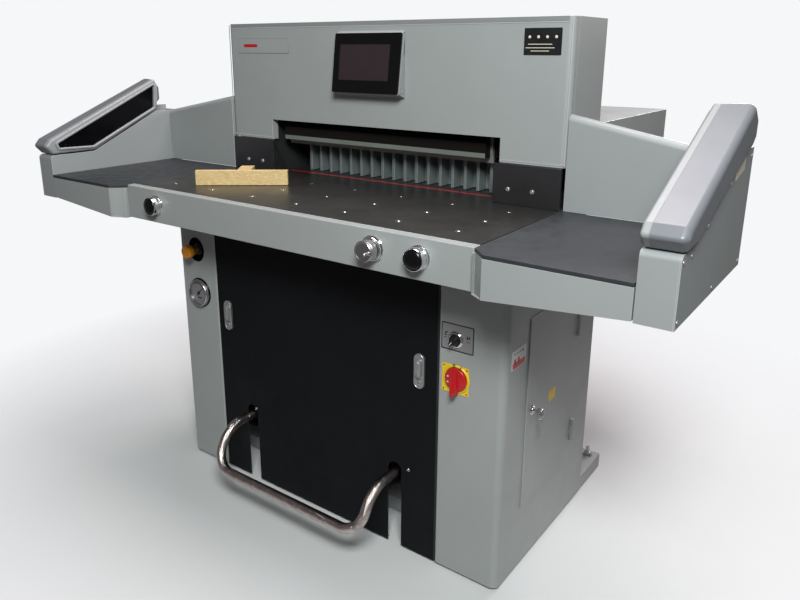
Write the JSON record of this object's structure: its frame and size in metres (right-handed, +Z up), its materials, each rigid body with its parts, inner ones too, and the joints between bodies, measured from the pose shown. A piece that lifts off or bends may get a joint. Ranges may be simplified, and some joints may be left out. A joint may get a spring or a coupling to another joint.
{
  "type": "guillotine paper cutter",
  "caption": "Floor-standing programmable guillotine paper cutter with air table, side tables with light guards, front bar controls, foot pedal and covered rear table.",
  "frame": {"origin": "on the floor under the middle of the bounding box", "axes": "+Z up, +X to the operator's right, +Y from the operator towards the rear table"},
  "size_m": [1.924, 1.2143, 1.342],
  "materials": {
    "light_paint": "satin powder coat, cool light grey",
    "charcoal_paint": "fine-textured charcoal powder coat",
    "frame_paint": "dark grey machine enamel",
    "table_steel": "ground and polished",
    "board": "dark grey laminate board",
    "plate_steel": "ground stainless plate",
    "knife_steel": "ground blade steel",
    "chrome": "bright chrome plating",
    "silver": "turned aluminium",
    "black_plastic": "moulded black plastic",
    "guard_shell": "moulded grey housing",
    "dark_window": "infrared-clear black window",
    "screen": "display panel",
    "amber": "translucent amber plastic",
    "red_plastic": "red plastic",
    "wood": "pale beech",
    "rubber": "black rubber",
    "plates": "printed label plate"
  },
  "bodies": {
    "root": {"base_frame": "frame_paint", "levelling_bolts": "plate_steel", "side_frames": "frame_paint", "left_column_cover": "light_paint", "right_cabinet_cover": "light_paint", "rear_panel": "light_paint", "main_table": "table_steel", "air_balls": "knife_steel", "cutting_stick": "red_plastic", "front_bar": "light_paint", "bar_fittings": "chrome", "uprights": "frame_paint", "head_crossbeam": "frame_paint", "head_front_cover": "light_paint", "head_rear_cover": "light_paint", "steel_plates": "plate_steel", "side_guides": "plate_steel", "knife_cylinder": "frame_paint", "clamp_cylinder": "frame_paint", "rear_table": "table_steel", "backgauge_rails": "plate_steel", "backgauge_motor": "black_plastic", "drive_belt": "rubber", "rear_table_cover": "light_paint", "side_boards": "board", "side_trays": "light_paint", "left_side_wall": "light_paint", "right_side_wall": "light_paint", "outer_panels": "light_paint", "back_walls": "light_paint", "guard_frames": "guard_shell", "guard_shells": "guard_shell", "guard_windows": "dark_window", "hmi_housing": "guard_shell", "hmi_bezel": "black_plastic", "hmi_screen": "screen", "control_plates": "plates", "gauge_case": "chrome", "hydraulic_unit": "frame_paint", "panel_screws": "plate_steel"},
    "knife_carriage": {"knife_carrier": "charcoal_paint", "knife": "knife_steel"},
    "clamp": {"clamp_beam": "charcoal_paint"},
    "backgauge": {"backgauge": "silver"},
    "leadscrew": {"leadscrew": "knife_steel"},
    "motor_pulley": {"motor_pulley": "silver"},
    "left_button": {"left_push_button": "black_plastic"},
    "right_button": {"right_push_button": "black_plastic"},
    "handwheel": {"handwheel": "silver"},
    "selector": {"selector_knob": "black_plastic"},
    "main_switch": {"main_switch_knob": "red_plastic"},
    "pressure_knob": {"pressure_knob": "amber"},
    "gauge_needle": {"gauge_needle": "black_plastic"},
    "pedal": {"pedal": "chrome"},
    "front_door": {"front_door": "charcoal_paint"},
    "left_latch": {"left_latch_handle": "silver"},
    "right_latch": {"right_latch_handle": "silver"},
    "access_door": {"access_door": "light_paint"},
    "access_lock": {"access_lock": "chrome"},
    "paper_pusher": {"paper_pusher": "wood"}
  },
  "joints": [
    {"name": "knife_slide", "type": "slide", "parent": "root", "child": "knife_carriage", "axis": [0.4191, 0, -0.908], "range_m": [0, 0.09307]},
    {"name": "clamp_slide", "type": "slide", "parent": "root", "child": "clamp", "axis": [0, 0, -1], "range_m": [0, 0.094]},
    {"name": "backgauge_slide", "type": "slide", "parent": "root", "child": "backgauge", "axis": [0, 1, 0], "range_m": [0, 0.54]},
    {"name": "leadscrew_spin", "type": "hinge", "parent": "root", "child": "leadscrew", "pos_m": [0, 0.194, 0.845], "axis": [0, 1, 0], "range_deg": [0, 7776]},
    {"name": "motor_pulley_spin", "type": "hinge", "parent": "root", "child": "motor_pulley", "pos_m": [0, -0.088, 0.74], "axis": [0, 1, 0], "range_deg": [0, 13330.29]},
    {"name": "left_button_press", "type": "slide", "parent": "root", "child": "left_button", "axis": [0, 1, 0], "range_m": [0, 0.006], "stiffness_N_per_m": 300, "springref_m": -0.004},
    {"name": "right_button_press", "type": "slide", "parent": "root", "child": "right_button", "axis": [0, 1, 0], "range_m": [0, 0.006], "stiffness_N_per_m": 300, "springref_m": -0.004},
    {"name": "handwheel_spin", "type": "hinge", "parent": "root", "child": "handwheel", "pos_m": [0.312, -0.586, 0.8575], "axis": [0, 1, 0], "continuous": true},
    {"name": "selector_turn", "type": "hinge", "parent": "root", "child": "selector", "pos_m": [0.44, -0.411, 0.63], "axis": [0, 1, 0], "range_deg": [-45, 45]},
    {"name": "main_switch_turn", "type": "hinge", "parent": "root", "child": "main_switch", "pos_m": [0.445, -0.411, 0.533], "axis": [0, 1, 0], "range_deg": [-90, 0]},
    {"name": "pressure_knob_turn", "type": "hinge", "parent": "root", "child": "pressure_knob", "pos_m": [-0.462, -0.426, 0.695], "axis": [0, 1, 0], "range_deg": [-140, 140]},
    {"name": "gauge_needle_turn", "type": "hinge", "parent": "root", "child": "gauge_needle", "pos_m": [-0.455, -0.414, 0.563], "axis": [0, 1, 0], "range_deg": [-180, 90]},
    {"name": "pedal_swing", "type": "hinge", "parent": "root", "child": "pedal", "pos_m": [0, -0.316, 0.221], "axis": [1, 0, 0], "range_deg": [0, 8], "stiffness_Nm_per_rad": 15, "springref_deg": -20.05},
    {"name": "front_door_off", "type": "slide", "parent": "root", "child": "front_door", "axis": [0, -1, 0], "range_m": [0, 0.06]},
    {"name": "left_latch_turn", "type": "hinge", "parent": "front_door", "child": "left_latch", "pos_m": [-0.3335, -0.414, 0.539], "axis": [0, 1, 0], "range_deg": [0, 90]},
    {"name": "right_latch_turn", "type": "hinge", "parent": "front_door", "child": "right_latch", "pos_m": [0.3415, -0.414, 0.547], "axis": [0, -1, 0], "range_deg": [0, 90]},
    {"name": "access_door_swing", "type": "hinge", "parent": "root", "child": "access_door", "pos_m": [0.576, -0.003, 0.42], "axis": [0, 0, 1], "range_deg": [0, 110]},
    {"name": "access_lock_turn", "type": "hinge", "parent": "access_door", "child": "access_lock", "pos_m": [0.575, -0.263, 0.434], "axis": [1, 0, 0], "range_deg": [0, 90]},
    {"name": "paper_pusher_lift", "type": "slide", "parent": "root", "child": "paper_pusher", "axis": [0, 0, 1], "range_m": [0, 0.08]}
  ],
  "couplings": [
    {"joint": "leadscrew_spin", "follows": "backgauge_slide", "rad_per_m": 251.33},
    {"joint": "motor_pulley_spin", "follows": "backgauge_slide", "rad_per_m": 430.85}
  ]
}
